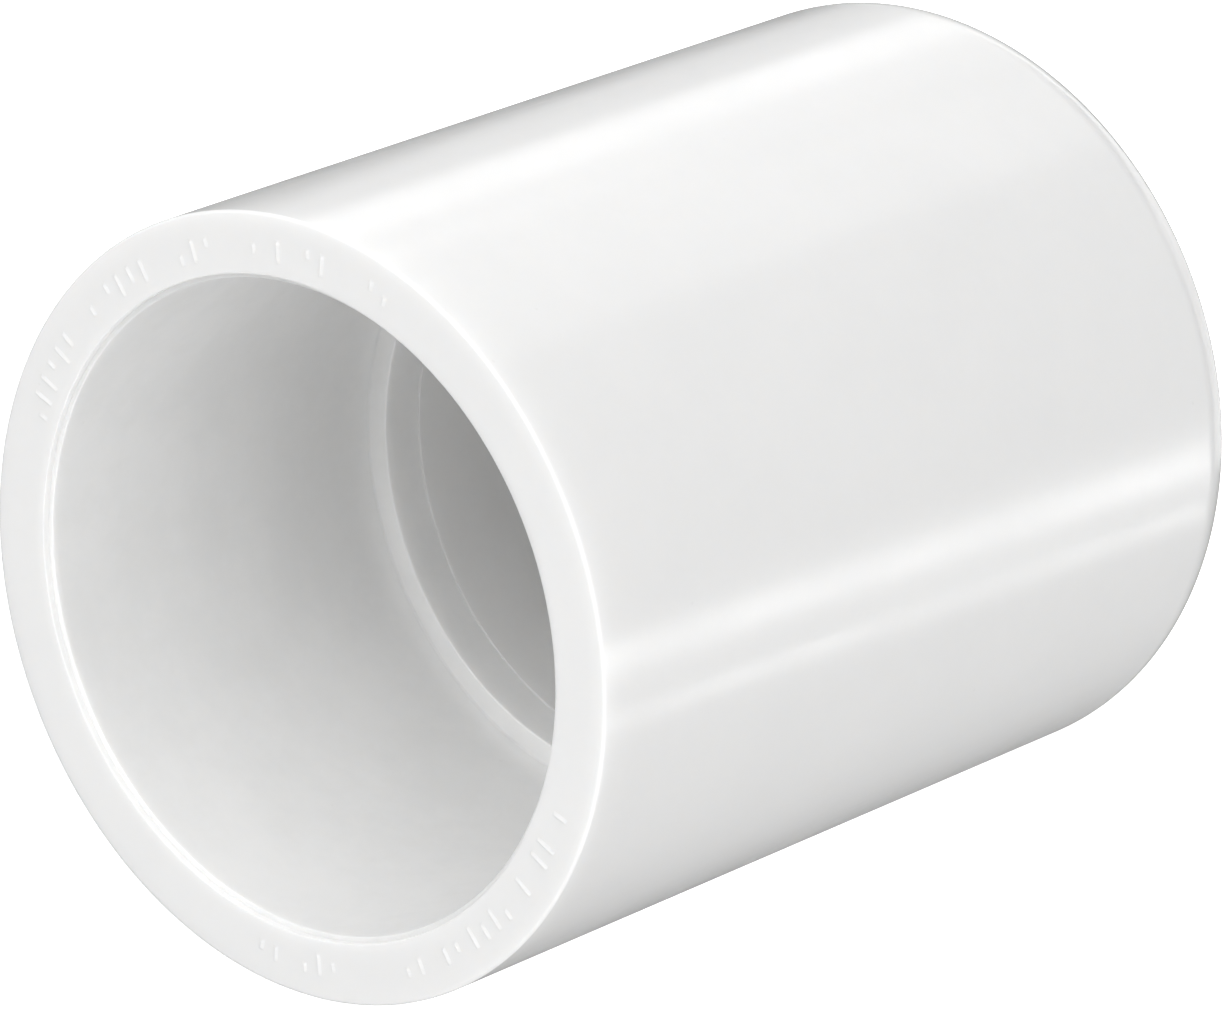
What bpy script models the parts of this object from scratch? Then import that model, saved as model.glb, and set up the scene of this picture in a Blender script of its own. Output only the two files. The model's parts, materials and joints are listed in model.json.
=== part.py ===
"""Slip pipe cap for nominal 1 in. Schedule 40 pipe, moulded in one piece from white rigid PVC.

The cap lies on its side: its axis is Y, the mouth is in the plane y = 0 and faces -Y, the closed
end is towards +Y and +Z is up. The origin is the centre of the mouth. Sizes are in metres.
"""

import math

import bmesh
import bpy

# Socket: the tapered hole that the pipe is cemented into, to the standard for Schedule 40.
SOCKET_MOUTH_DIAMETER = 33.66e-3
SOCKET_TAPER = 0.39e-3  # fall in diameter from the mouth to the base
SOCKET_DEPTH = 23.8e-3
SOCKET_WALL = 3.47e-3

# Mouth: the lead-in that guides the pipe, and the broken outer edge of the rim.
LEAD_IN_RADIAL = 0.24e-3
LEAD_IN_DEPTH = 0.63e-3
RIM_EDGE = 0.20e-3

# Pipe stop and the narrower hollow behind it.
STOP_LEDGE = 1.20e-3
STOP_EDGE = 0.15e-3
FUNNEL_RADIAL = 0.30e-3
FUNNEL_DEPTH = 2.30e-3
HOLLOW_DRAFT = math.radians(0.6)
HOLLOW_CORNER = 3.0e-3

# Outside.
LENGTH = 50.6e-3
END_WALL = 5.2e-3
END_CORNER = 3.0e-3
OUTER_DRAFT = math.radians(0.12)

# Injection gate in the middle of the closed end: a shallow dimple with the trimmed sprue in it.
GATE_DIMPLE_DIAMETER = 9.0e-3
GATE_DIMPLE_DEPTH = 0.50e-3
GATE_DIMPLE_SLOPE = 0.60e-3
GATE_STUB_DIAMETER = 3.0e-3
GATE_STUB_HEIGHT = 0.35e-3
GATE_STUB_SLOPE = 0.10e-3

# Plain raised pads moulded on the rim face, in one circular band.
PAD_BAND_WIDTH = 1.35e-3
PAD_BAND_OFFSET = 0.92e-3
PAD_HEIGHT = 0.18e-3
PAD_FLANK = 0.22e-3
PAD_RUNS_DEG = (
    (140, 160),
    (120, 130),
    (108, 112),
    (83, 92),
    (70, 77),
    (-28, -20),
    (-52, -33),
    (-68, -60),
    (-98, -83),
)

# Fineness of the round shapes.
TURN_SEGMENTS = 72
END_CORNER_STEPS = 7
HOLLOW_CORNER_STEPS = 5
SHARP_ANGLE = math.radians(24)
MERGE_DISTANCE = 1e-7

# Sizes that follow from those above.
MOUTH_RADIUS = SOCKET_MOUTH_DIAMETER / 2
BASE_RADIUS = MOUTH_RADIUS - SOCKET_TAPER / 2
OUTER_RADIUS = MOUTH_RADIUS + SOCKET_WALL
STOP_RADIUS = BASE_RADIUS - STOP_LEDGE
HOLLOW_RADIUS = STOP_RADIUS - FUNNEL_RADIAL
HOLLOW_START = SOCKET_DEPTH + STOP_EDGE + FUNNEL_DEPTH
HOLLOW_END = LENGTH - END_WALL
PAD_INNER_RADIUS = MOUTH_RADIUS + PAD_BAND_OFFSET


def clear_scene():
    """Remove every object of the scene."""
    for obj in list(bpy.data.objects):
        bpy.data.objects.remove(obj)


def quarter_arc(centre, radius, start, stop, steps):
    """Return points (r, y) on an arc between two angles, both ends included."""
    angles = (start + (stop - start) * step / steps for step in range(steps + 1))
    return [(centre[0] + radius * math.cos(a), centre[1] + radius * math.sin(a)) for a in angles]


def hollow_profile():
    """Return the profile (r, y) from the axis at the hollow's floor out to the socket's lead-in."""
    corner_y = HOLLOW_END - HOLLOW_CORNER
    wall_radius = HOLLOW_RADIUS - (corner_y - HOLLOW_START) * math.tan(HOLLOW_DRAFT)
    corner = quarter_arc(
        (wall_radius - HOLLOW_CORNER, corner_y), HOLLOW_CORNER, math.pi / 2, 0, HOLLOW_CORNER_STEPS
    )
    return [
        (0, HOLLOW_END),
        *corner,
        (HOLLOW_RADIUS, HOLLOW_START),
        (STOP_RADIUS, SOCKET_DEPTH + STOP_EDGE),
        (STOP_RADIUS + STOP_EDGE, SOCKET_DEPTH),
        (BASE_RADIUS, SOCKET_DEPTH),
        (MOUTH_RADIUS, LEAD_IN_DEPTH),
    ]


def rim_profile():
    """Return the profile (r, y) of the rim face, with a ring on each side of the band of pads."""
    return [
        (MOUTH_RADIUS + LEAD_IN_RADIAL, 0),
        (PAD_INNER_RADIUS, 0),
        (PAD_INNER_RADIUS + PAD_BAND_WIDTH, 0),
        (OUTER_RADIUS - RIM_EDGE, 0),
        (OUTER_RADIUS, RIM_EDGE),
    ]


def end_profile():
    """Return the profile (r, y) of the closed end, from its rounded corner in to the gate's stub."""
    corner_y = LENGTH - END_CORNER
    wall_radius = OUTER_RADIUS - corner_y * math.tan(OUTER_DRAFT)
    corner = quarter_arc(
        (wall_radius - END_CORNER, corner_y), END_CORNER, 0, math.pi / 2, END_CORNER_STEPS
    )
    dimple_radius = GATE_DIMPLE_DIAMETER / 2
    dimple_y = LENGTH - GATE_DIMPLE_DEPTH
    stub_radius = GATE_STUB_DIAMETER / 2
    return [
        *corner,
        (dimple_radius, LENGTH),
        (dimple_radius - GATE_DIMPLE_SLOPE, dimple_y),
        (stub_radius + GATE_STUB_SLOPE, dimple_y),
        (stub_radius, dimple_y + GATE_STUB_HEIGHT),
        (0, dimple_y + GATE_STUB_HEIGHT),
    ]


def turned(profile):
    """Return a closed bmesh made by turning the profile (r, y) once round the Y axis."""
    shape = bmesh.new()
    verts = [shape.verts.new((radius, y, 0)) for radius, y in profile]
    edges = [shape.edges.new(pair) for pair in zip(verts, verts[1:])]
    bmesh.ops.spin(
        shape,
        geom=verts + edges,
        cent=(0, 0, 0),
        axis=(0, 1, 0),
        angle=math.tau,
        steps=TURN_SEGMENTS,
        use_merge=True,
    )
    bmesh.ops.remove_doubles(shape, verts=shape.verts, dist=MERGE_DISTANCE)
    bmesh.ops.recalc_face_normals(shape, faces=shape.faces)
    return shape


def is_pad_face(face):
    """Tell whether a face lies in the rim's band of pads, within one of the runs."""
    middle = face.calc_center_median()
    radius = math.hypot(middle.x, middle.z)
    in_band = PAD_INNER_RADIUS < radius < PAD_INNER_RADIUS + PAD_BAND_WIDTH
    if abs(middle.y) > MERGE_DISTANCE or not in_band:
        return False
    angle = math.degrees(math.atan2(middle.z, middle.x))
    return any(low <= angle <= high for low, high in PAD_RUNS_DEG)


def raise_pads(shape):
    """Raise the pads from the rim face, each with sloping flanks."""
    pads = [face for face in shape.faces if is_pad_face(face)]
    bmesh.ops.inset_individual(
        shape, faces=pads, thickness=PAD_FLANK, depth=PAD_HEIGHT, use_even_offset=True
    )


def pvc_material():
    """Return the cap's material: white rigid PVC with a semi-gloss surface."""
    material = bpy.data.materials.new("white_rigid_pvc")
    material.use_nodes = True
    shader = material.node_tree.nodes["Principled BSDF"]
    shader.inputs["Base Color"].default_value = (0.86, 0.86, 0.85, 1.0)
    shader.inputs["Roughness"].default_value = 0.28
    shader.inputs["IOR"].default_value = 1.53
    return material


def build_cap():
    """Make the cap as one object."""
    shape = turned(hollow_profile() + rim_profile() + end_profile())
    raise_pads(shape)
    mesh = bpy.data.meshes.new("cap_body")
    shape.to_mesh(mesh)
    shape.free()
    mesh.materials.append(pvc_material())
    mesh.shade_smooth()
    mesh.set_sharp_from_angle(angle=SHARP_ANGLE)
    bpy.context.collection.objects.link(bpy.data.objects.new("cap_body", mesh))


clear_scene()
build_cap()
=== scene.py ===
"""Visual model of a white PVC slip cap for pressure pipe, lying on its side in a white studio.

The cap's axis is Y, its mouth is at y = 0 and faces -Y, its closed end is towards +Y, +Z is up.
"""

import json
import logging
import math
from dataclasses import dataclass, field
from enum import Enum

import bmesh
import bpy
from mathutils import Matrix, Vector


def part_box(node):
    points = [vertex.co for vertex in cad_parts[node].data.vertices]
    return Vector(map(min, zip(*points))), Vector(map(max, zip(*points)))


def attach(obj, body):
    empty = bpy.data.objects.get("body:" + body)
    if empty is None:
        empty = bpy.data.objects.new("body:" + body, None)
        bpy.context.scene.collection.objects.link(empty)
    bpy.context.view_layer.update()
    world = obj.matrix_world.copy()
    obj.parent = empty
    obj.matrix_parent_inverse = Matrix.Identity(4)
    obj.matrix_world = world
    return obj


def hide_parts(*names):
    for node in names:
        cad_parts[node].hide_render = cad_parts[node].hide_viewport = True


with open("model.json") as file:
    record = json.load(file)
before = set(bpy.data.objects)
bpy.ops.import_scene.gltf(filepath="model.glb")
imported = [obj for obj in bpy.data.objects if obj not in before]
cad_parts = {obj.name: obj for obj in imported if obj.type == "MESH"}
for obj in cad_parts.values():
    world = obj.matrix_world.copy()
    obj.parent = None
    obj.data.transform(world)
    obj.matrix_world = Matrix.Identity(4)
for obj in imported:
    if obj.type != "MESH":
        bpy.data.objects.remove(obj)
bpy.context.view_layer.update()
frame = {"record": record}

MM = 1e-3
HAIR = 0.02 * MM
NODE = "cap_body"
BODY = "root"
SOCKET_MOUNT = "pipe_socket"
MARK_SHARE = 0.6
PVC_IOR = 1.53
PVC_REACH = (1.0, 0.97, 0.93)
WHITE = (1.0, 1.0, 1.0, 1.0)

log = logging.getLogger("pipe_cap")


class Region(Enum):
    """The stretches of the moulding that the mould steel finished differently, the hollow also with a
    slightly darker base colour as painted shade.
    """

    SOCKET = 0
    RIM = 1
    OUTSIDE = 2
    HOLLOW = 3


class Stroke(Enum):
    """The rows of the rim's mark band that one raised bar covers, counted from the bore outwards."""

    TALL = (0, 1, 2, 3)
    LONG = (1, 2, 3)
    OUTER = (2, 3)
    INNER = (0, 1)
    DOT = (1, 2)
    NONE = ()


# ---------------------------------------------------------------------------------------------
# Shader building blocks
# ---------------------------------------------------------------------------------------------


@dataclass
class NodeSheet:
    """A node tree with a short way to add nodes and join them.

    Attributes:
        tree: The node tree that the nodes go into.
    """

    tree: bpy.types.NodeTree

    def add(self, kind: str, settings: dict | None = None, inputs: dict | None = None) -> bpy.types.Node:
        """Add a node.

        Args:
            kind: The node's type name.
            settings: Properties of the node by name.
            inputs: Values or output sockets by input name or number.

        Returns:
            The new node.
        """
        node = self.tree.nodes.new(kind)
        for name, value in (settings or {}).items():
            setattr(node, name, value)
        for name, value in (inputs or {}).items():
            if isinstance(value, bpy.types.NodeSocket):
                self.tree.links.new(value, node.inputs[name])
            else:
                node.inputs[name].default_value = value
        return node

    def math(
        self, operation: str, first: object, second: object = 0.0, clamp: bool = False
    ) -> bpy.types.NodeSocket:
        """Add a Math node.

        Args:
            operation: The node's operation.
            first: First value or output socket.
            second: Second value or output socket.
            clamp: Whether the result is kept between 0 and 1.

        Returns:
            The node's output.
        """
        settings = {"operation": operation, "use_clamp": clamp}
        return self.add("ShaderNodeMath", settings, {0: first, 1: second}).outputs[0]

    def noise(
        self, vector: object, scale: object, detail: float = 2.0, roughness: float = 0.5
    ) -> bpy.types.NodeSocket:
        """Add a Noise Texture.

        Args:
            vector: Output socket that gives the position.
            scale: Value or output socket for the scale.
            detail: Number of finer layers.
            roughness: Share of the finer layers.

        Returns:
            The node's value output.
        """
        node = self.add(
            "ShaderNodeTexNoise",
            inputs={"Vector": vector, "Scale": scale, "Detail": detail, "Roughness": roughness},
        )
        return node.outputs["Fac"]

    def ramp(
        self, value: object, low: float, high: float, out_low: float = 0.0, out_high: float = 1.0
    ) -> bpy.types.NodeSocket:
        """Add a smooth clamped Map Range.

        Args:
            value: Output socket to map.
            low: Value that gives out_low.
            high: Value that gives out_high.
            out_low: Lowest or first result.
            out_high: Highest or last result.

        Returns:
            The node's result output.
        """
        node = self.add(
            "ShaderNodeMapRange",
            {"interpolation_type": "SMOOTHSTEP", "clamp": True},
            {"Value": value, "From Min": low, "From Max": high, "To Min": out_low, "To Max": out_high},
        )
        return node.outputs["Result"]


def new_group(name: str, inputs: dict[str, tuple[str, object]], outputs: dict[str, str]) -> tuple:
    """Make a shader node group with named sockets.

    Args:
        name: The group's name.
        inputs: Socket type and default value by input name.
        outputs: Socket type by output name.

    Returns:
        The group, its sheet, its input node and its output node.
    """
    group = bpy.data.node_groups.new(name, "ShaderNodeTree")
    for label, (kind, value) in inputs.items():
        socket = group.interface.new_socket(label, in_out="INPUT", socket_type=kind)
        if kind != "NodeSocketVector":
            socket.default_value = value
    for label, kind in outputs.items():
        group.interface.new_socket(label, in_out="OUTPUT", socket_type=kind)
    sheet = NodeSheet(group)
    return group, sheet, sheet.add("NodeGroupInput"), sheet.add("NodeGroupOutput")


def moulded_skin_group() -> bpy.types.NodeTree:
    """Build the group that gives a moulded surface its soft unevenness and fine grain.

    Returns:
        A group that turns a position into a height and a tone mask, both from 0 to 1.
    """
    group, sheet, given, out = new_group(
        "moulded_skin",
        {
            "Vector": ("NodeSocketVector", None),
            "Peel Scale": ("NodeSocketFloat", 420.0),
            "Grain Scale": ("NodeSocketFloat", 5200.0),
            "Grain Share": ("NodeSocketFloat", 0.2),
        },
        {"Height": "NodeSocketFloat", "Tone": "NodeSocketFloat"},
    )
    peel = sheet.noise(given.outputs["Vector"], given.outputs["Peel Scale"], 2.0, 0.45)
    grain = sheet.noise(given.outputs["Vector"], given.outputs["Grain Scale"], 3.0, 0.6)
    height = sheet.add(
        "ShaderNodeMix",
        {"data_type": "FLOAT"},
        {0: given.outputs["Grain Share"], 2: peel, 3: grain},
    )
    cloud = sheet.noise(given.outputs["Vector"], 120.0, 5.0, 0.72)
    sheet.tree.links.new(height.outputs[0], out.inputs["Height"])
    sheet.tree.links.new(sheet.ramp(cloud, 0.32, 0.68), out.inputs["Tone"])
    return group


def handling_group() -> bpy.types.NodeTree:
    """Build the group that scatters dust specks and faint rub marks.

    Returns:
        A group that turns a position into a speck mask and a rub mask, both from 0 to 1.
    """
    group, sheet, given, out = new_group(
        "handling",
        {
            "Vector": ("NodeSocketVector", None),
            "Speck Scale": ("NodeSocketFloat", 700.0),
            "Speck Size": ("NodeSocketFloat", 0.06),
        },
        {"Specks": "NodeSocketFloat", "Rubs": "NodeSocketFloat"},
    )
    cells = sheet.add(
        "ShaderNodeTexVoronoi",
        {"feature": "F1"},
        {"Vector": given.outputs["Vector"], "Scale": given.outputs["Speck Scale"]},
    )
    near = sheet.math("LESS_THAN", cells.outputs["Distance"], given.outputs["Speck Size"])
    lot = sheet.add("ShaderNodeSeparateColor", inputs={0: cells.outputs["Color"]})
    bare_share = 0.93
    chosen = sheet.math("GREATER_THAN", lot.outputs[0], bare_share)
    sheet.tree.links.new(sheet.math("MULTIPLY", near, chosen), out.inputs["Specks"])
    stretched = sheet.add(
        "ShaderNodeMapping",
        inputs={
            "Vector": given.outputs["Vector"],
            "Rotation": (0.3, 0.2, 0.5),
            "Scale": (5200.0, 240.0, 3900.0),
        },
    )
    hair = sheet.noise(stretched.outputs[0], 1.0, 2.0, 0.6)
    patch = sheet.noise(given.outputs["Vector"], 130.0, 1.0, 0.5)
    rubs = sheet.math("MULTIPLY", sheet.ramp(hair, 0.5, 0.8), sheet.ramp(patch, 0.4, 0.75))
    sheet.tree.links.new(rubs, out.inputs["Rubs"])
    return group


def steel_lines_group() -> bpy.types.NodeTree:
    """Build the group for the faint lines that a polished or turned core leaves in a bore.

    Returns:
        A group that turns a position into a height from 0 to 1, in rings round the Y axis.
    """
    group, sheet, given, out = new_group(
        "steel_lines",
        {"Vector": ("NodeSocketVector", None), "Pitch": ("NodeSocketFloat", 0.25 * MM)},
        {"Height": "NodeSocketFloat"},
    )
    parts = sheet.add("ShaderNodeSeparateXYZ", inputs={0: given.outputs["Vector"]})
    along = sheet.math("DIVIDE", parts.outputs["Y"], given.outputs["Pitch"])
    waver = 40.0
    across = sheet.math("MULTIPLY", sheet.math("ADD", parts.outputs["X"], parts.outputs["Z"]), waver)
    place = sheet.add("ShaderNodeCombineXYZ", inputs={0: across, 1: along, 2: 0.0})
    lines = sheet.noise(place.outputs[0], 1.0, 2.0, 0.5)
    sheet.tree.links.new(lines, out.inputs["Height"])
    return group


@dataclass
class ShaderGroups:
    """The node groups that the finishes share, each built once.

    Attributes:
        skin: Soft unevenness, grain and tone of a moulded surface.
        handling: Dust specks and rub marks.
        lines: Ring lines left by the core.
    """

    skin: bpy.types.NodeTree = field(default_factory=moulded_skin_group)
    handling: bpy.types.NodeTree = field(default_factory=handling_group)
    lines: bpy.types.NodeTree = field(default_factory=steel_lines_group)


@dataclass(frozen=True)
class PvcFinish:
    """White rigid PVC as one stretch of the mould left it.

    Attributes:
        name: The material's name.
        tint: Base colour, linear.
        shade: Base colour where the tone mask is 0, linear.
        roughness: Lowest and highest roughness over the tone mask.
        peel_depth: Height in metres of the soft unevenness and grain.
        grain_share: How much of that height is fine grain.
        line_depth: Height in metres of the core's ring lines.
        rub: How much roughness a rub mark adds.
        speck_tint: Colour of the dust specks, linear.
        speck_share: How much of that colour a speck shows.
        scatter: How far light travels inside, in metres.
    """

    name: str
    tint: tuple[float, float, float]
    shade: tuple[float, float, float]
    roughness: tuple[float, float]
    peel_depth: float
    grain_share: float
    line_depth: float = 0.0
    rub: float = 0.04
    speck_tint: tuple[float, float, float] = (0.62, 0.61, 0.59)
    speck_share: float = 0.12
    scatter: float = 0.55 * MM

    def material(self, groups: ShaderGroups) -> bpy.types.Material:
        """Build the material.

        Args:
            groups: The shared node groups.

        Returns:
            The finished material.
        """
        made = bpy.data.materials.new(self.name)
        made.use_nodes = True
        sheet = NodeSheet(made.node_tree)
        shader = made.node_tree.nodes["Principled BSDF"]
        place = sheet.add("ShaderNodeTexCoord").outputs["Object"]
        skin = sheet.add(
            "ShaderNodeGroup", {"node_tree": groups.skin}, {"Vector": place, "Grain Share": self.grain_share}
        )
        marks = sheet.add("ShaderNodeGroup", {"node_tree": groups.handling}, {"Vector": place})
        tone = sheet.add(
            "ShaderNodeMix",
            {"data_type": "RGBA"},
            {0: skin.outputs["Tone"], 6: (*self.shade, 1.0), 7: (*self.tint, 1.0)},
        )
        dust = sheet.math("MULTIPLY", marks.outputs["Specks"], self.speck_share)
        dusty = sheet.add(
            "ShaderNodeMix",
            {"data_type": "RGBA"},
            {0: dust, 6: tone.outputs[2], 7: (*self.speck_tint, 1.0)},
        )
        gloss = sheet.ramp(skin.outputs["Tone"], 0.0, 1.0, self.roughness[1], self.roughness[0])
        rubbed = sheet.math("ADD", gloss, sheet.math("MULTIPLY", marks.outputs["Rubs"], self.rub), clamp=True)
        height = sheet.math("MULTIPLY", skin.outputs["Height"], self.peel_depth / MM)
        if self.line_depth:
            lines = sheet.add("ShaderNodeGroup", {"node_tree": groups.lines}, {"Vector": place})
            ring = sheet.math("MULTIPLY", lines.outputs["Height"], self.line_depth / MM)
            height = sheet.math("ADD", height, ring)
        bump = sheet.add("ShaderNodeBump", inputs={"Strength": 1.0, "Distance": MM, "Height": height})
        for socket, name in (
            (dusty.outputs[2], "Base Color"),
            (rubbed, "Roughness"),
            (bump.outputs[0], "Normal"),
        ):
            made.node_tree.links.new(socket, shader.inputs[name])
        shader.inputs["IOR"].default_value = PVC_IOR
        shader.inputs["Subsurface Weight"].default_value = 1.0
        shader.inputs["Subsurface Radius"].default_value = PVC_REACH
        shader.inputs["Subsurface Scale"].default_value = self.scatter
        return made


# ---------------------------------------------------------------------------------------------
# The moulding
# ---------------------------------------------------------------------------------------------


@dataclass(frozen=True)
class Corner:
    """A corner of the profile that is turned round the axis.

    Attributes:
        radius: Distance from the axis, in metres.
        along: Distance from the mouth plane towards the closed end, in metres.
        round_by: Radius of the rounding, in metres, or 0 for none.
        steps: Number of segments of the rounding.
    """

    radius: float
    along: float
    round_by: float = 0.0
    steps: int = 1


@dataclass
class CapMoulding:
    """The whole cap, one closed moulding, with the marks raised on its rim.

    The outer size comes from the CAD node, the socket from the record's mount. Lengths are in metres
    and angles in radians.

    Attributes:
        outer_radius: Outer radius at the mouth.
        length: From the mouth plane to the end face.
        mark_height: How far the rim's marks stand proud.
        mouth_radius: Radius of the socket at the mouth.
        socket_depth: From the mouth plane to the stop ledge.
        socket_taper: How much the socket's radius shrinks down to the ledge.
        lip_step: Width and depth of the step round the mouth.
        hollow_step: Width of the step where the funnel meets the hollow.
        stop_ledge: Width of the ledge that stops the pipe.
        funnel: How much the radius shrinks behind the ledge, and over what depth.
        hollow_draft: Draft of the hollow's wall.
        end_wall: Thickness of the closed end.
        hollow_corner: Rounding at the hollow's floor.
        end_corner: Rounding at the closed end.
        outer_draft: Draft of the outer wall.
        rim_crown: Width of the rim's outer slope and how far it falls back.
        rim_edge: Rounding of the rim's outer edge.
        dimple: Radius of the gate's dimple at its lip and foot, and its depth.
        stub: Radius of the gate's stub and its height.
        mark_rows: Radii of the rings that bound the rows of the mark band.
        turn_steps: Number of faces in one turn.
        support: Distance from a rounding to the supporting ring beside it.
        wall_rings: Number of rings along the longest wall.
    """

    outer_radius: float
    length: float
    mark_height: float
    mouth_radius: float
    socket_depth: float
    socket_taper: float = 0.195 * MM
    lip_step: tuple[float, float] = (0.28 * MM, 0.38 * MM)
    hollow_step: float = 0.1 * MM
    stop_ledge: float = 1.2 * MM
    funnel: tuple[float, float] = (0.3 * MM, 2.3 * MM)
    hollow_draft: float = math.radians(0.6)
    end_wall: float = 5.2 * MM
    hollow_corner: float = 3.0 * MM
    end_corner: float = 3.0 * MM
    outer_draft: float = math.radians(0.12)
    rim_crown: tuple[float, float] = (0.8 * MM, 0.02 * MM)
    rim_edge: float = 0.18 * MM
    dimple: tuple[float, float, float] = (4.5 * MM, 3.9 * MM, 0.5 * MM)
    stub: tuple[float, float] = (1.5 * MM, 0.35 * MM)
    mark_rows: tuple[float, ...] = (17.8 * MM, 18.12 * MM, 18.44 * MM, 18.76 * MM, 19.08 * MM)
    turn_steps: int = 360
    support: float = 0.02 * MM
    wall_rings: int = 48

    def hollow_corners(self) -> list[Corner]:
        """List the corners from the axis at the hollow's floor out to the lip at the mouth."""
        base = self.mouth_radius - self.socket_taper
        stop = base - self.stop_ledge
        start = (stop - self.funnel[0], self.socket_depth + self.funnel[1])
        floor = self.length - self.end_wall
        lip = self.mouth_radius + self.lip_step[0]
        floor_radius = start[0] - (floor - start[1]) * math.tan(self.hollow_draft)
        return [
            Corner(0.0, floor),
            Corner(floor_radius, floor, self.hollow_corner, 12),
            Corner(start[0], start[1], 0.03 * MM, 3),
            Corner(start[0] + self.hollow_step, start[1], 0.04 * MM, 3),
            Corner(stop, self.socket_depth, 0.1 * MM, 5),
            Corner(base, self.socket_depth, 0.12 * MM, 5),
            Corner(self.mouth_radius, self.lip_step[1], 0.06 * MM, 4),
            Corner(lip, self.lip_step[1], 0.03 * MM, 3),
            Corner(lip, 0.0, 0.05 * MM, 4),
        ]

    def outside_corners(self) -> list[Corner]:
        """List the corners from the rim face round the outside to the gate's stub on the axis."""
        end_radius = self.outer_radius - self.length * math.tan(self.outer_draft)
        lip, foot, depth = self.dimple
        dimple_floor = self.length - depth
        stub_top = dimple_floor + self.stub[1]
        return [
            *(Corner(row, 0.0) for row in self.mark_rows),
            Corner(self.outer_radius - self.rim_crown[0], 0.0, 2.5 * MM, 5),
            Corner(self.outer_radius, self.rim_crown[1], self.rim_edge, 6),
            Corner(end_radius, self.length, self.end_corner, 20),
            Corner(lip, self.length, 0.3 * MM, 4),
            Corner(foot, dimple_floor, 0.3 * MM, 4),
            Corner(self.stub[0] + 0.12 * MM, dimple_floor, 0.1 * MM, 3),
            Corner(self.stub[0], stub_top, 0.1 * MM, 3),
            Corner(0.0, stub_top),
        ]

    def profile_points(self) -> list[tuple[float, float]]:
        """Round every corner and add a supporting point beside each rounding.

        Returns:
            Points (radius, along) in metres, from axis to axis.
        """
        corners = self.hollow_corners() + self.outside_corners()
        points: list[tuple[float, float]] = []
        for index, corner in enumerate(corners):
            here = Vector((corner.radius, corner.along))
            if not corner.round_by:
                points.append(here.to_tuple())
                continue
            back = (Vector((corners[index - 1].radius, corners[index - 1].along)) - here).normalized()
            on = (Vector((corners[index + 1].radius, corners[index + 1].along)) - here).normalized()
            half = back.angle(on) / 2
            reach = corner.round_by / math.tan(half)
            centre = here + (back + on).normalized() * (corner.round_by / math.sin(half))
            first, last = here + back * reach, here + on * reach
            points.append((first + back * self.support).to_tuple())
            turn = (first - centre).angle_signed(last - centre)
            for step in range(corner.steps + 1):
                spoke = (first - centre).copy()
                spoke.rotate(Matrix.Rotation(-turn * step / corner.steps, 2))
                points.append((centre + spoke).to_tuple())
            points.append((last + on * self.support).to_tuple())
        return points

    def turned(self) -> bmesh.types.BMesh:
        """Turn the profile once round the Y axis.

        Returns:
            The closed moulding without marks.
        """
        shape = bmesh.new()
        verts = [shape.verts.new((radius, along, 0.0)) for radius, along in self.profile_points()]
        edges = [shape.edges.new(pair) for pair in zip(verts, verts[1:])]
        wall = max(edges, key=lambda edge: edge.calc_length())
        bmesh.ops.subdivide_edges(shape, edges=[wall], cuts=self.wall_rings)
        bmesh.ops.spin(
            shape,
            geom=shape.verts[:] + shape.edges[:],
            cent=(0.0, 0.0, 0.0),
            axis=(0.0, 1.0, 0.0),
            angle=math.tau,
            steps=self.turn_steps,
            use_merge=True,
        )
        same_place = 1e-6 * MM
        bmesh.ops.remove_doubles(shape, verts=shape.verts, dist=same_place)
        bmesh.ops.recalc_face_normals(shape, faces=shape.faces)
        return shape

    def region_of(self, face: bmesh.types.BMFace) -> Region:
        """Tell which finish a face takes from where it is."""
        middle = face.calc_center_median()
        radius = math.hypot(middle.x, middle.z)
        lip = self.mouth_radius + self.lip_step[0]
        rim_depth, edge_width, end_share = 0.2 * MM, 0.1 * MM, 0.8
        if middle.y < rim_depth and lip - HAIR < radius < self.outer_radius - edge_width:
            return Region.RIM
        if radius > lip or middle.y > self.length - end_share * self.end_wall:
            return Region.OUTSIDE
        return Region.SOCKET if middle.y < self.socket_depth + self.funnel[1] - HAIR else Region.HOLLOW

    def build(self) -> bpy.types.Object:
        """Build the moulding as one object, with the finish of each region as a material number."""
        shape = self.turned()
        RimMarks(self.mark_rows, self.mark_height).raise_on(shape, self.turn_steps)
        for face in shape.faces:
            face.smooth = True
            face.material_index = self.region_of(face).value
        mesh = bpy.data.meshes.new("cap_moulding")
        shape.to_mesh(mesh)
        shape.free()
        piece = bpy.data.objects.new("cap_moulding", mesh)
        bpy.context.scene.collection.objects.link(piece)
        return piece


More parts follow.
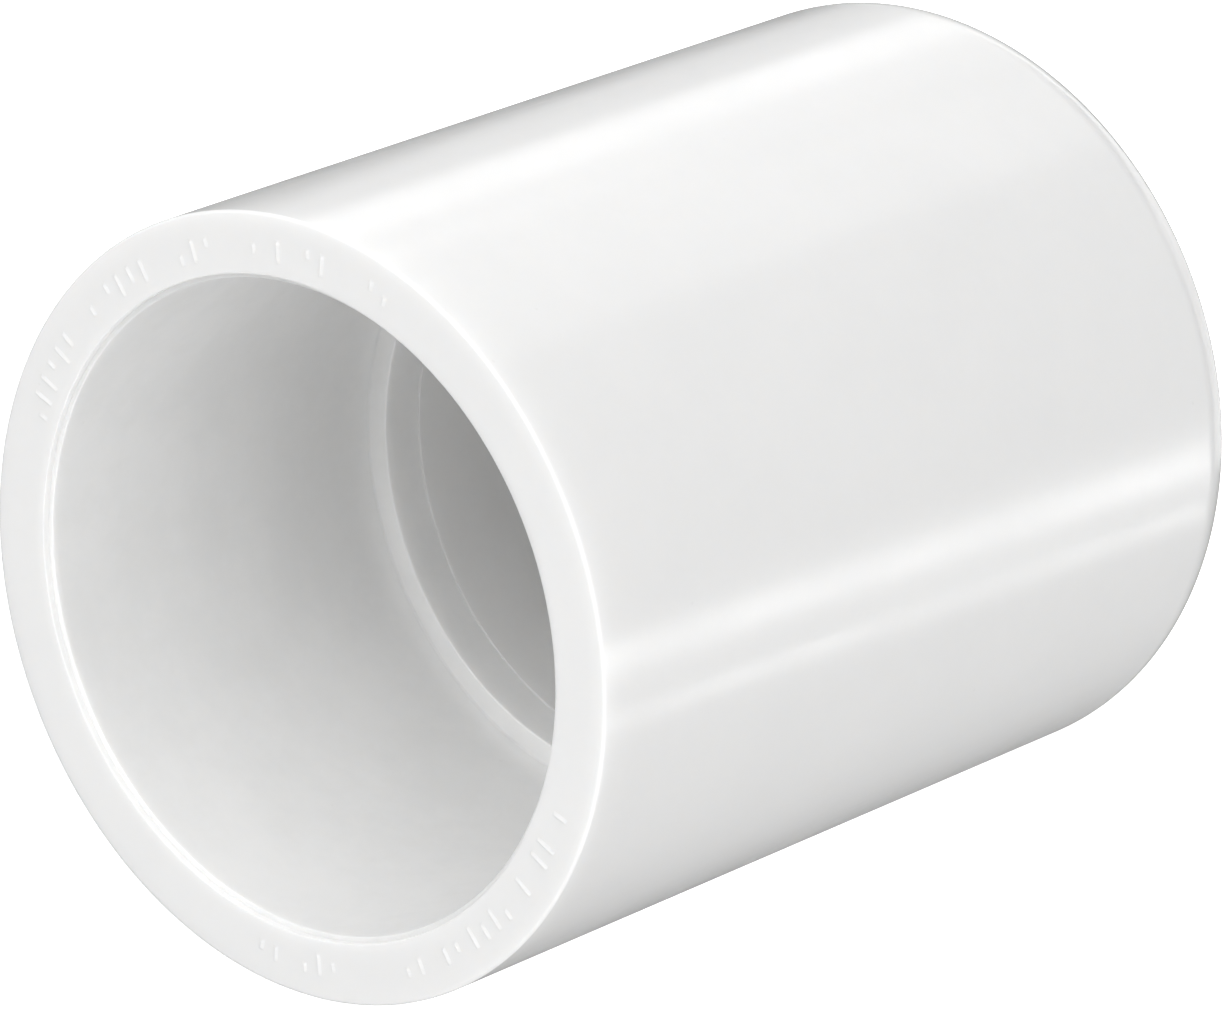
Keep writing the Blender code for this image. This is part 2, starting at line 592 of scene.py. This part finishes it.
@dataclass
class RimMarks:
    """Plain raised bars on the rim face, in runs round the mouth, that say nothing.

    Attributes:
        rows: Radii of the rings that bound the band's rows, in metres.
        height: How far the bars stand proud, in metres.
        border: Width of the flat strip left round a bar's foot, in metres.
        flank: Width of a bar's sloping flank, in metres.
        crest: Width of the flat strip inside its top edge, in metres.
        flat_within: How far a face of the rim may lie from the mouth plane, in metres.
        pitch: Angle between the strokes of a run, in degrees.
        runs: First angle of each run in degrees, and the strokes in it.
    """

    rows: tuple[float, ...]
    height: float
    border: float = 0.008 * MM
    flank: float = 0.13 * MM
    crest: float = 0.008 * MM
    flat_within: float = 0.01 * MM
    pitch: float = 3.0
    runs: tuple[tuple[float, tuple[Stroke, ...]], ...] = (
        (144.0, (Stroke.LONG, Stroke.TALL, Stroke.OUTER, Stroke.TALL, Stroke.TALL, Stroke.INNER)),
        (136.0, (Stroke.DOT,)),
        (122.0, (Stroke.TALL, Stroke.LONG, Stroke.TALL, Stroke.OUTER)),
        (107.0, (Stroke.OUTER, Stroke.TALL, Stroke.INNER)),
        (97.0, (Stroke.DOT,)),
        (83.0, (Stroke.TALL, Stroke.OUTER, Stroke.NONE, Stroke.TALL)),
        (70.0, (Stroke.DOT, Stroke.OUTER)),
        (-30.0, (Stroke.TALL, Stroke.TALL, Stroke.NONE, Stroke.LONG)),
        (-51.0, (Stroke.TALL, Stroke.LONG, Stroke.TALL, Stroke.OUTER, Stroke.NONE, Stroke.TALL)),
        (-58.0, (Stroke.LONG, Stroke.DOT)),
        (-67.0, (Stroke.OUTER, Stroke.LONG)),
        (-98.0, (Stroke.DOT, Stroke.LONG, Stroke.NONE, Stroke.OUTER, Stroke.TALL, Stroke.DOT)),
    )

    def wanted(self, turn_steps: int) -> set[tuple[int, int]]:
        """List the cells of the band that are raised.

        Args:
            turn_steps: Number of cells in one turn.

        Returns:
            Pairs of cell number round the axis and row number.
        """
        cells = set()
        for start, strokes in self.runs:
            for place, stroke in enumerate(strokes):
                cell = round((start + place * self.pitch) / 360.0 * turn_steps) % turn_steps
                cells.update((cell, row) for row in stroke.value)
        return cells

    def cell_of(self, face: bmesh.types.BMFace, turn_steps: int) -> tuple[int, int] | None:
        """Give the band's cell that a face fills, or None if it lies outside the band."""
        middle = face.calc_center_median()
        radius = math.hypot(middle.x, middle.z)
        if abs(middle.y) > self.flat_within or not self.rows[0] < radius < self.rows[-1]:
            return None
        row = sum(radius > bound for bound in self.rows) - 1
        angle = math.degrees(math.atan2(middle.z, middle.x)) % 360.0
        return int(angle / 360.0 * turn_steps), row

    def raise_on(self, shape: bmesh.types.BMesh, turn_steps: int) -> None:
        """Raise the bars from the rim face, each with sloping flanks and a narrow crest.

        Args:
            shape: The turned moulding.
            turn_steps: Number of cells in one turn.
        """
        wanted = self.wanted(turn_steps)
        faces = [face for face in shape.faces if self.cell_of(face, turn_steps) in wanted]
        for width, depth in ((self.border, 0.0), (self.flank, self.height), (self.crest, 0.0)):
            bmesh.ops.inset_region(
                shape,
                faces=faces,
                thickness=width,
                depth=depth,
                use_even_offset=True,
                use_boundary=True,
            )


# ---------------------------------------------------------------------------------------------
# Studio
# ---------------------------------------------------------------------------------------------


def facing(direction: Vector, roll: float = 0.0) -> Matrix:
    """Give the turn that points a lamp's or camera's -Z along a direction, rolled about it."""
    return (direction.to_track_quat("-Z", "Y").to_matrix() @ Matrix.Rotation(roll, 3, "Z")).to_4x4()


def towards(azimuth: float, elevation: float) -> Vector:
    """Give the unit vector from the cap to a place, by azimuth from -Y towards +X and elevation."""
    across, up = math.radians(azimuth), math.radians(elevation)
    return Vector((math.sin(across) * math.cos(up), -math.cos(across) * math.cos(up), math.sin(up)))


@dataclass(frozen=True)
class SoftBox:
    """A rectangular studio lamp that the camera doesn't see.

    Attributes:
        name: The lamp's name.
        azimuth: Degrees from -Y towards +X.
        elevation: Degrees above the horizon.
        across: Angle that it covers sideways, in degrees.
        upright: Angle that it covers up and down, in degrees.
        radiance: Brightness of its face.
        lean: Turn about its own axis, in degrees.
        distance: Distance from the middle of the cap, in metres.
    """

    name: str
    azimuth: float
    elevation: float
    across: float
    upright: float
    radiance: float
    lean: float = 0.0
    distance: float = 1.5

    def place(self, middle: Vector) -> bpy.types.Object:
        """Add the lamp to the scene, aimed at the middle of the cap, and return it."""
        lamp = bpy.data.lights.new(self.name, "AREA")
        lamp.shape = "RECTANGLE"
        lamp.size = 2 * self.distance * math.tan(math.radians(self.across / 2))
        lamp.size_y = 2 * self.distance * math.tan(math.radians(self.upright / 2))
        lamp.energy = self.radiance * math.pi * lamp.size * lamp.size_y
        holder = bpy.data.objects.new(self.name, lamp)
        out = towards(self.azimuth, self.elevation)
        spot = Matrix.Translation(middle + out * self.distance)
        holder.matrix_world = spot @ facing(-out, math.radians(self.lean))
        holder.visible_camera = False
        bpy.context.scene.collection.objects.link(holder)
        return holder


@dataclass
class Studio:
    """The floor, the lamps and the surroundings.

    Attributes:
        middle: Point that the lamps aim at, in metres.
        floor_height: Height of the floor, in metres.
        floor_reach: Half the floor's width, in metres.
        paper: Grey level and roughness of the floor's paper.
        paper_shine: Strength of the paper's reflection.
        paper_glow: Light that the paper gives off, so that it stays white.
        surround: Grey level of the room that the cap sees.
        boxes: The lamps.
    """

    middle: Vector
    floor_height: float
    floor_reach: float = 6.0
    paper: tuple[float, float] = (0.9, 0.9)
    paper_shine: float = 0.1
    paper_glow: float = 0.72
    surround: float = 0.17
    boxes: tuple[SoftBox, ...] = (
        SoftBox("key_box", 0.0, 42.0, 50.0, 28.0, 3.6),
        SoftBox("key_side", 40.0, 42.0, 34.0, 28.0, 2.0),
        SoftBox("front_fill", 45.0, 10.0, 60.0, 30.0, 1.0),
        SoftBox("low_fill", 45.0, -22.0, 60.0, 26.0, 1.65),
        SoftBox("floor_bounce", 45.0, -55.0, 60.0, 36.0, 1.25),
        SoftBox("side_bounce", 105.0, -42.0, 46.0, 30.0, 1.7),
        SoftBox("right_fill", 90.0, 0.0, 36.0, 40.0, 0.4),
        SoftBox("far_left_fill", -80.0, 30.0, 45.0, 45.0, 0.25),
        SoftBox("top_box", 0.0, 85.0, 45.0, 45.0, 1.75),
        SoftBox("back_top", 200.0, 50.0, 50.0, 24.0, 0.6),
        SoftBox("back_edge", 216.2, 26.6, 40.0, 11.0, 0.62, 30.0),
        SoftBox("back_edge_soft", 214.0, 30.0, 40.0, 24.0, 0.6, 30.0),
        SoftBox("back_low", 200.0, 10.0, 50.0, 16.0, 0.26),
        SoftBox("behind", 180.0, 0.0, 40.0, 40.0, 1.2),
        SoftBox("strip_glow", 140.0, -15.0, 24.0, 9.0, 0.2, -42.0),
        SoftBox("main_strip", 140.0, -15.8, 22.0, 2.2, 5.4, -42.0),
        SoftBox("faint_strip", 145.0, -26.3, 18.0, 1.2, 4.2, -22.0),
    )

    def floor(self) -> bpy.types.Object:
        """Lay the plain floor under the cap."""
        shape = bmesh.new()
        bmesh.ops.create_grid(shape, x_segments=1, y_segments=1, size=self.floor_reach)
        bmesh.ops.translate(shape, verts=shape.verts, vec=(0.0, 0.0, self.floor_height))
        mesh = bpy.data.meshes.new("studio_floor")
        shape.to_mesh(mesh)
        shape.free()
        paper = bpy.data.materials.new("white_paper")
        paper.use_nodes = True
        shader = paper.node_tree.nodes["Principled BSDF"]
        grey, roughness = self.paper
        shader.inputs["Base Color"].default_value = (grey, grey, grey, 1.0)
        shader.inputs["Roughness"].default_value = roughness
        shader.inputs["Specular IOR Level"].default_value = self.paper_shine
        shader.inputs["Emission Color"].default_value = WHITE
        shader.inputs["Emission Strength"].default_value = self.paper_glow
        mesh.materials.append(paper)
        floor = bpy.data.objects.new("studio_floor", mesh)
        floor.visible_glossy = False
        floor.visible_diffuse = False
        floor.visible_shadow = False
        bpy.context.scene.collection.objects.link(floor)
        return floor

    def surroundings(self) -> None:
        """Make the world white to the camera and a soft grey to the cap."""
        world = bpy.data.worlds.new("white_studio")
        bpy.context.scene.world = world
        world.use_nodes = True
        sheet = NodeSheet(world.node_tree)
        light = world.node_tree.nodes["Background"]
        light.inputs["Color"].default_value = (self.surround, self.surround, self.surround, 1.0)
        seen = sheet.add("ShaderNodeBackground", inputs={"Color": WHITE})
        path = sheet.add("ShaderNodeLightPath")
        both = sheet.add(
            "ShaderNodeMixShader",
            inputs={0: path.outputs["Is Camera Ray"], 1: light.outputs[0], 2: seen.outputs[0]},
        )
        world.node_tree.links.new(both.outputs[0], world.node_tree.nodes["World Output"].inputs["Surface"])

    def build(self) -> bpy.types.Object:
        """Build everything and return the floor."""
        self.surroundings()
        for box in self.boxes:
            box.place(self.middle)
        bpy.context.scene.view_settings.view_transform = "Standard"
        return self.floor()


@dataclass(frozen=True)
class ProductCamera:
    """A long lens on the cap from the front right, a little above it.

    Attributes:
        azimuth: Degrees from -Y towards +X.
        elevation: Degrees above the horizon.
        target: Point at the middle of the view, in metres.
        distance: From the target to the lens, in metres.
        lens: Focal length, in millimetres.
        sensor: Width of the sensor, in millimetres.
        clip: Nearest and farthest distance seen, in metres.
    """

    azimuth: float = 40.9
    elevation: float = 19.3
    target: tuple[float, float, float] = (10.73 * MM, 11.58 * MM, 4.95 * MM)
    distance: float = 0.4929
    lens: float = 294.1
    sensor: float = 36.0
    clip: tuple[float, float] = (0.01, 50.0)

    def place(self) -> bpy.types.Object:
        """Add the camera and make it the scene's."""
        data = bpy.data.cameras.new("product_camera")
        data.lens = self.lens
        data.sensor_width = self.sensor
        data.clip_start, data.clip_end = self.clip
        camera = bpy.data.objects.new("product_camera", data)
        out = towards(self.azimuth, self.elevation)
        spot = Matrix.Translation(Vector(self.target) + out * self.distance)
        camera.matrix_world = spot @ facing(-out)
        bpy.context.scene.collection.objects.link(camera)
        bpy.context.scene.camera = camera
        return camera


def dress(piece: bpy.types.Object, groups: ShaderGroups) -> None:
    """Give the moulding the finish of each of its regions.

    Args:
        piece: The moulding.
        groups: The shared node groups.
    """
    white, pale, soft = (0.88, 0.88, 0.876), (0.866, 0.867, 0.864), (0.838, 0.839, 0.835)
    # The hollow's base colours are set a little darker than the white elsewhere, as painted shade deep inside
    # the cap; its higher roughness is its real duller finish.
    hollow_white_painted_shade, hollow_soft_painted_shade = (0.872, 0.87, 0.864), (0.846, 0.844, 0.838)
    finishes = {
        Region.SOCKET: PvcFinish(
            "pvc_socket",
            tint=white,
            shade=soft,
            roughness=(0.32, 0.4),
            peel_depth=3.0e-6,
            grain_share=0.35,
            line_depth=0.9e-6,
        ),
        Region.RIM: PvcFinish(
            "pvc_rim",
            tint=white,
            shade=pale,
            roughness=(0.3, 0.38),
            peel_depth=2.4e-6,
            grain_share=0.35,
        ),
        Region.OUTSIDE: PvcFinish(
            "pvc_outside",
            tint=white,
            shade=pale,
            roughness=(0.15, 0.19),
            peel_depth=3.6e-6,
            grain_share=0.06,
            scatter=1.4 * MM,
        ),
        Region.HOLLOW: PvcFinish(
            "pvc_hollow_painted_shade",
            tint=hollow_white_painted_shade,
            shade=hollow_soft_painted_shade,
            roughness=(0.42, 0.5),
            peel_depth=3.0e-6,
            grain_share=0.4,
            line_depth=1.2e-6,
        ),
    }
    for region in Region:
        piece.data.materials.append(finishes[region].material(groups))


def main() -> None:
    """Build the cap, the studio and the camera in order."""
    logging.basicConfig(level=logging.INFO, format="%(name)s: %(message)s")
    low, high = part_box(NODE)
    socket = next(mount for mount in frame["record"]["mounts"] if mount["name"] == SOCKET_MOUNT)
    ProductCamera().place()
    moulding = CapMoulding(
        outer_radius=high.x,
        length=high.y,
        mark_height=MARK_SHARE * -low.y,
        mouth_radius=socket["dims"]["r_mm"] * MM,
        socket_depth=socket["dims"]["length_mm"] * MM,
    )
    piece = moulding.build()
    dress(piece, ShaderGroups())
    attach(piece, BODY)
    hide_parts(NODE)
    log.info("%s: %d faces", piece.name, len(piece.data.polygons))
    floor = Studio(middle=(low + high) / 2, floor_height=low.z).build()
    log.info("%s: %d faces", floor.name, len(floor.data.polygons))


if __name__ == "__main__":
    main()
